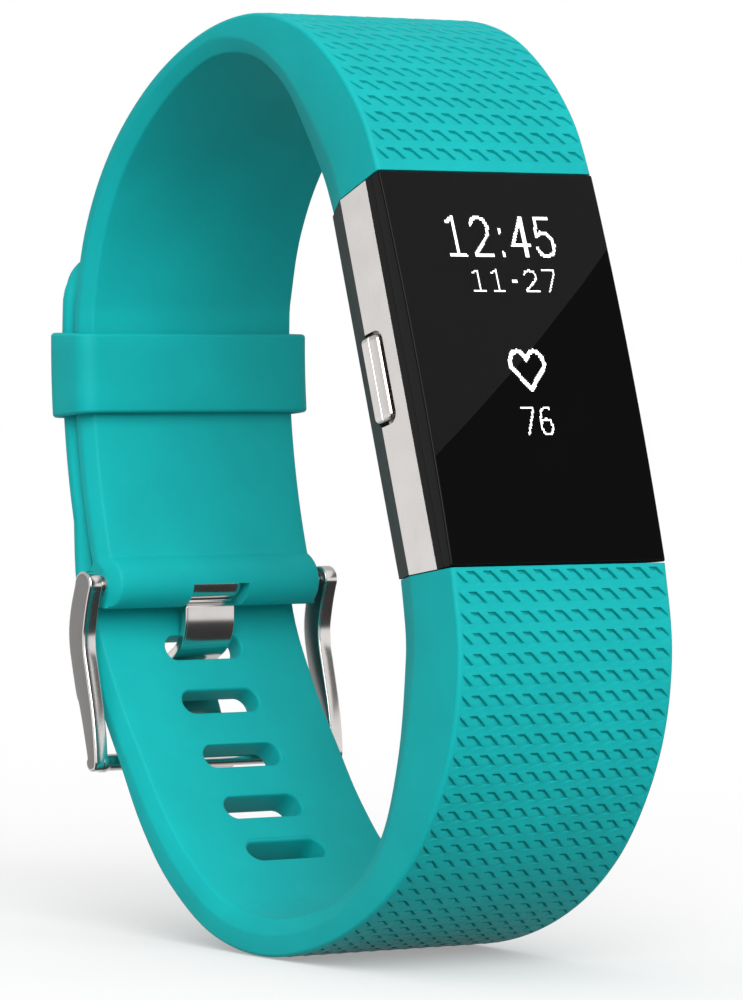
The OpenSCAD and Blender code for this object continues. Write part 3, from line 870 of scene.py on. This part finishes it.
def button():
    """The side button: a bar with a lengthwise crease and an eased edge towards the display."""
    low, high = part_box("side_button")
    points = points_of("side_button")
    cap = points[points[:, 0] < low.x + 0.6 * MM]
    d_low, d_high = (cap @ INTO).min(), (cap @ INTO).max()
    u_low, u_high = (cap @ UP).min(), (cap @ UP).max()
    d_mid, u_mid = (d_low + d_high) / 2, (u_low + u_high) / 2
    half_d, half_u = (d_high - d_low) / 2, (u_high - u_low) / 2
    # Share of the way from the middle towards the wrist, and depth in mm under the outermost face
    profile = ((-1.0, 0.24), (-0.9, 0.12), (-0.5, 0.03), (-0.1, 0.02), (-0.06, 0.09), (-0.02, 0.09),
               (0.02, 0.01), (0.5, 0.0), (0.86, 0.02), (1.0, 0.16))
    ends = ((0.9, 0.0), (0.96, 0.04), (0.985, 0.1), (1.0, 0.22))
    corner, sunk = 0.5 * MM, 0.7 * MM

    def outline_half(u):
        """Half the button's depth at a place along it, with rounded corners."""
        past = abs(u) - (half_u - corner)
        return half_d if past <= 0 else half_d - corner + math.sqrt(max(corner**2 - past**2, 0))

    straight = half_u - corner
    end = half_u - corner * (1 - np.sin(np.radians((15, 30, 45, 60, 75, 90))))
    rings = []
    for u in np.concatenate([-end[::-1], np.linspace(-straight, straight, 9), end]):
        wide = outline_half(u)
        drop = np.interp(abs(u) / half_u, *zip(*ends)) * MM
        ring = [(low.x + sunk) * ACROSS + (d_mid - wide) * INTO + (u_mid + u) * UP]
        for share, under in profile:
            x = low.x + under * MM + drop
            ring.append(x * ACROSS + (d_mid + share * wide) * INTO + (u_mid + u) * UP)
        ring.append((low.x + sunk) * ACROSS + (d_mid + wide) * INTO + (u_mid + u) * UP)
        rings.append(np.array(ring))
    stem = points[points[:, 0] > low.x + 0.9 * MM]
    stem_yz = (stem[:, 1:].min(0) + stem[:, 1:].max(0)) / 2
    cap_piece = piece("button_cap", *tube_of_rings(rings), M["polished"])
    r = np.ptp(stem @ INTO)
    line = [(low.x + 0.5 * MM, r / 2), (high.x - 0.1 * MM, r / 2), (high.x, r / 2 - 0.1 * MM)]
    rod = spin("button_stem", line, stem_yz, M["polished"], 24)
    return join("button", [cap_piece, rod])


# Strokes of each sign in a box 1 wide and 1 high, as lines of points
SIGNS = {
    "1": [[(0.12, 0.86), (0.45, 1.0), (0.45, 0.0)], [(0.05, 0.0), (0.85, 0.0)]],
    "2": [[(0.05, 0.8), (0.2, 0.95), (0.5, 1.0), (0.8, 0.93), (0.95, 0.75), (0.85, 0.52), (0.1, 0.08),
           (0.06, 0.0), (0.98, 0.0)]],
    "4": [[(0.72, 0.0), (0.72, 1.0), (0.04, 0.28), (0.98, 0.28)]],
    "5": [[(0.88, 1.0), (0.18, 1.0), (0.1, 0.52), (0.35, 0.62), (0.65, 0.6), (0.9, 0.45), (0.96, 0.28),
           (0.85, 0.08), (0.5, 0.0), (0.2, 0.05), (0.04, 0.2)]],
    "6": [[(0.85, 0.95), (0.5, 1.0), (0.2, 0.85), (0.06, 0.5), (0.06, 0.28), (0.2, 0.06), (0.5, 0.0),
           (0.8, 0.06), (0.94, 0.28), (0.8, 0.5), (0.5, 0.57), (0.2, 0.5), (0.08, 0.34)]],
    "7": [[(0.04, 1.0), (0.94, 1.0), (0.9, 0.82), (0.35, 0.0)]],
    "-": [[(0.15, 0.48), (0.85, 0.48)]],
    ":": [[(0.5, 0.68), (0.5, 0.62)], [(0.5, 0.08), (0.5, 0.02)]],
}
PIXEL = 0.125 * MM


def heart_line(wide, high):
    """Outline of a heart: two round lobes over straight sides that meet in a point."""
    lobe = [(0.5 - 0.5 * math.cos(a), 0.56 + 0.44 * math.sin(a)) for a in np.radians(range(30, 200, 15))]
    right = np.array([(0.0, 0.7)] + lobe + [(0.0, -0.35)])
    outline = np.concatenate([right, right[::-1] * (-1, 1)])
    middle = (outline[:, 1].max() + outline[:, 1].min()) / 2
    return (outline - (0, middle)) * (wide / 2, high / np.ptp(outline[:, 1]))


def screen_lines():
    """(points, stroke width) of all that the display shows: x and height from the middle of the face."""
    found = []

    def write(text, left, foot, wide, high, gap, stroke):
        """Adds a text's strokes; left and foot are its lower left corner."""
        for sign in text:
            w = wide * (0.45 if sign == ":" else 0.6 if sign == "-" else 1)
            found.extend((np.array(line) * (w, high) + (left, foot), stroke) for line in SIGNS[sign])
            left += w + gap

    write("12:45", -5.35 * MM, 8.95 * MM, 1.85 * MM, 3.2 * MM, 0.6 * MM, 0.26 * MM)
    write("11-27", -3.7 * MM, 6.05 * MM, 1.3 * MM, 1.72 * MM, 0.6 * MM, 0.13 * MM)
    write("76", -1.4 * MM, -5.6 * MM, 1.3 * MM, 2.2 * MM, 0.45 * MM, 0.16 * MM)
    found.append((heart_line(3.35 * MM, 3.1 * MM) + (0.1 * MM, -0.4 * MM), 0.34 * MM))
    return found


def screen():
    """Lit pixels just over the glass, on a square grid."""
    glass = points_of("display_glass")
    ups, depths = glass @ UP, glass @ INTO
    middle = (ups.max() + ups.min()) / 2
    front = {}
    for up, depth in zip(np.round(ups, 6), depths):
        front[up] = min(front.get(up, 1.0), depth)
    surface = np.array(sorted(front.items()))
    on = set()
    for line, stroke in screen_lines():
        for p, q in zip(line, line[1:]):
            low, high = np.minimum(p, q) - stroke, np.maximum(p, q) + stroke
            for i in range(int(low[0] // PIXEL), int(high[0] // PIXEL) + 1):
                for j in range(int(low[1] // PIXEL), int(high[1] // PIXEL) + 1):
                    c = np.array(((i + 0.5) * PIXEL, (j + 0.5) * PIXEL))
                    t = np.clip((c - p) @ (q - p) / max((q - p) @ (q - p), 1e-12), 0, 1)
                    if np.linalg.norm(p + t * (q - p) - c) < stroke / 2:
                        on.add((i, j))
    verts, faces = [], []
    raise_by = 0.012 * MM
    for i, j in sorted(on):
        n = len(verts)
        for lift in (0, raise_by):
            for a, b in ((0, 0), (1, 0), (1, 1), (0, 1)):
                x, up = (i + a) * PIXEL, middle + (j + b) * PIXEL
                depth = np.interp(up, surface[:, 0], surface[:, 1])
                verts.append(x * ACROSS + (depth - lift) * INTO + up * UP)
        faces += [(n + 3, n + 2, n + 1, n), (n + 4, n + 5, n + 6, n + 7)]
        faces += [(n + k, n + (k + 1) % 4, n + 4 + (k + 1) % 4, n + 4 + k) for k in range(4)]
    mesh = bpy.data.meshes.new("screen_pixels")
    mesh.from_pydata([tuple(v) for v in verts], [], faces)
    mesh.materials.append(M["screen"])
    return placed("screen_pixels", mesh)


# ---- stage ----

AZIMUTH, ELEVATION, ROLL = -37.6056, 2.5, 1.0522  # degrees
AIM = Vector((-11.518, -18.866, -0.248)) * MM
DISTANCE = 520 * MM
LENS = 242.0  # millimetres, for the 36 mm sensor


def camera():
    """The camera at the solved viewing angle."""
    data = bpy.data.cameras.new("camera")
    data.sensor_width, data.lens = 36, LENS
    data.clip_start, data.clip_end = 0.01, 20
    made = placed("camera", data)
    a, e, roll = (math.radians(v) for v in (AZIMUTH, ELEVATION, ROLL))
    back = Vector((math.sin(a) * math.cos(e), -math.cos(a) * math.cos(e), math.sin(e)))
    right = Vector((math.cos(a), math.sin(a), 0))
    up = back.cross(right)
    right, up = math.cos(roll) * right + math.sin(roll) * up, math.cos(roll) * up - math.sin(roll) * right
    turned = Matrix((right, up, back)).transposed().to_4x4()
    made.matrix_world = Matrix.Translation(AIM + DISTANCE * back) @ turned
    bpy.context.scene.camera = made


def facing(target, place):
    """Rotation of a light that shines from place towards target."""
    return (Vector(target) - Vector(place)).to_track_quat("-Z", "Y").to_euler()


# The card's edge as the photo's glass shows it: two places (x, height) from the face's middle, and a
# place on the card's side of it
GLARE_EDGE = ((-10.2 * MM, -6.35 * MM), (11.0 * MM, 9.15 * MM))
GLARE_SIDE = (-5.0 * MM, 9.0 * MM)


def reflected(x, up):
    """Where the glass sends a ray from the camera that meets it at a place on its face."""
    glass = points_of("display_glass")
    ups, depths = glass @ UP, glass @ INTO
    half, middle = np.ptp(ups) / 2, (ups.max() + ups.min()) / 2
    bulge = depths[np.abs(ups - ups.max()) < 1e-5].min() - depths.min()
    depth = depths.min() + bulge * (up / half) ** 2
    normal = -INTO + 2 * bulge * up / half**2 * UP
    normal /= np.linalg.norm(normal)
    place = x * ACROSS + depth * INTO + (middle + up) * UP
    ray = place - np.array(bpy.context.scene.camera.matrix_world.translation)
    ray /= np.linalg.norm(ray)
    return place, ray - 2 * (ray @ normal) * normal


CARD_FAR, CARD_LONG, CARD_WIDE = 2.5, 1.5, 1.6
CARD_GLOW = 0.55


def window_card():
    """A pale card far off, seen in reflections only, whose straight edge crosses the glass."""
    rays = [reflected(*at) for at in (*GLARE_EDGE, GLARE_SIDE)]
    p, q, side = (place + CARD_FAR * ray for place, ray in rays)
    along = (q - p) / np.linalg.norm(q - p)
    away = (side - p) - ((side - p) @ along) * along
    away /= np.linalg.norm(away)
    start, end = p - CARD_LONG * along, q + CARD_LONG * along
    corners = [start, end, end + CARD_WIDE * away, start + CARD_WIDE * away]
    made = piece("window_card", corners, [(0, 1, 2, 3)], lit("card_light", (1, 1, 1), CARD_GLOW))
    made.visible_camera = made.visible_diffuse = made.visible_shadow = made.visible_transmission = False
    return made


FLOOR_HALF = 12.0
FLOOR_GLOW = 0.64  # light that the paper gives off where nothing is near
FLOOR_SHADE = 0.5  # share of it that is left where the object touches the paper
SHADE_REACH = 0.06


def floor():
    """Pale paper with a soft neutral contact shadow painted into its glow; it isn't mirrored in the metal."""
    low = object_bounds()[0].z - 0.05 * MM
    corners = [(x * FLOOR_HALF, y * FLOOR_HALF, low) for x, y in ((-1, -1), (1, -1), (1, 1), (-1, 1))]
    made = piece("floor", corners, [(0, 1, 2, 3)])
    paper = Surface("floor_paper", (0.4, 0.4, 0.4), Roughness=0.9, Specular_IOR_Level=0.0)
    paper.colour(paper.noise(0.3, 2), (0.395, 0.395, 0.395), (0.405, 0.405, 0.405))
    paper.shader.inputs["Emission Color"].default_value = (1, 1, 1, 1)
    path = paper.node("ShaderNodeLightPath")
    glow = paper.node("ShaderNodeMath", operation="MULTIPLY")
    glow.inputs[1].default_value = FLOOR_GLOW
    # Painted contact shadow: the glow is dimmed where ambient occlusion finds the object near
    near = paper.node("ShaderNodeAmbientOcclusion", samples=8, Distance=SHADE_REACH)
    contact = paper.node("ShaderNodeMapRange", **{"To Min": FLOOR_SHADE})
    seen = paper.node("ShaderNodeMath", operation="MULTIPLY")
    paper.link(near.outputs["AO"], contact.inputs["Value"])
    paper.link(path.outputs["Is Camera Ray"], seen.inputs[0])
    paper.link(contact.outputs["Result"], seen.inputs[1])
    paper.link(seen.outputs[0], glow.inputs[0])
    paper.link(glow.outputs[0], paper.shader.inputs["Emission Strength"])
    made.data.materials.append(paper.material)
    made.visible_glossy = False
    return made


def grey_ramp(tree, factor, stops):
    """Greys between (position, grey) stops."""
    ramp = new_node(tree, "ShaderNodeValToRGB")
    points = ramp.color_ramp.elements
    while len(points) < len(stops):
        points.new(0.5)
    for point, (position, grey) in zip(points, stops):
        point.position, point.color = position, (grey, grey, grey, 1)
    tree.links.new(factor, ramp.inputs["Fac"])
    return ramp.outputs["Color"]


# Brightness of the studio in reflections from straight down, 0, to straight up, 1
FRONT_STUDIO = ((0.0, 0.04), (0.43, 0.05), (0.465, 0.95), (0.60, 0.95), (0.63, 0.16), (0.78, 0.14),
                (0.88, 0.7))
BACK_STUDIO = ((0.0, 0.35), (0.40, 1.0), (0.50, 0.95), (0.58, 0.62), (1.0, 0.5))
EVEN_LIGHT = 0.45  # strength of the surroundings as diffuse light
SUN_FROM = (-0.41, -0.73, 0.55)
SUN_STRENGTH, SUN_WIDTH = 2.6, 50  # the width in degrees


def studio():
    """Even light, white to the camera, and in reflections a studio's light and dark bands."""
    world = bpy.data.worlds.new("studio")
    bpy.context.scene.world = world
    world.use_nodes = True
    tree = world.node_tree
    tree.nodes.clear()
    node, link = partial(new_node, tree), tree.links.new
    where, split = node("ShaderNodeTexCoord"), node("ShaderNodeSeparateXYZ")
    link(where.outputs["Generated"], split.inputs["Vector"])
    height = node("ShaderNodeMapRange", **{"From Min": -1})
    link(split.outputs["Z"], height.inputs["Value"])
    towards = node("ShaderNodeMapRange", interpolation_type="SMOOTHSTEP",
                   **{"From Min": -0.25, "From Max": 0.25})
    link(split.outputs["Y"], towards.inputs["Value"])
    bands = node("ShaderNodeMix", data_type="RGBA")
    link(towards.outputs["Result"], bands.inputs["Factor"])
    link(grey_ramp(tree, height.outputs["Result"], FRONT_STUDIO), bands.inputs["A"])
    link(grey_ramp(tree, height.outputs["Result"], BACK_STUDIO), bands.inputs["B"])
    even, mirrored, seen = (node("ShaderNodeBackground", Color=(1, 1, 1, 1), Strength=strength)
                            for strength in (EVEN_LIGHT, 1.0, 1.0))
    link(bands.outputs["Result"], mirrored.inputs["Color"])
    path, glossy, camera_ray = (node("ShaderNode" + kind) for kind in ("LightPath", "MixShader", "MixShader"))
    link(path.outputs["Is Glossy Ray"], glossy.inputs["Fac"])
    link(even.outputs[0], glossy.inputs[1])
    link(mirrored.outputs[0], glossy.inputs[2])
    link(path.outputs["Is Camera Ray"], camera_ray.inputs["Fac"])
    link(glossy.outputs[0], camera_ray.inputs[1])
    link(seen.outputs[0], camera_ray.inputs[2])
    link(camera_ray.outputs[0], node("ShaderNodeOutputWorld").inputs["Surface"])


def soft_sun():
    """A wide, soft light from the upper front left."""
    data = bpy.data.lights.new("soft_sun", "SUN")
    data.energy, data.angle = SUN_STRENGTH, math.radians(SUN_WIDTH)
    placed("soft_sun", data).rotation_euler = facing((0, 0, 0), SUN_FROM)


def stage():
    """Floor, reflection card, surroundings and sun."""
    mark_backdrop(floor(), window_card())
    studio()
    soft_sun()
    bpy.context.scene.view_settings.view_transform = "Standard"


# ---- the object ----

def ride_for(made, body, slot, *nodes):
    """Puts a piece on a body, in place of the named CAD nodes; slot is not used."""
    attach(made, body)
    if nodes:
        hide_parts(*nodes)


dress_cad_nodes()
ride_for(lower_strap(), "band", "band", "lower_band")
ride_for(upper_strap(), "band", "band", "upper_band")
ride_for(keeper(), "keeper", "band", "keeper_loop")
ride_for(buckle(), "buckle_frame", "buckle", "buckle_frame")
ride_for(tongue(), "buckle_tongue", "buckle", "buckle_tongue")
ride_for(button(), "side_button", "button", "side_button")
ride_for(screen(), "tracker", "display_panel")
camera()
stage()
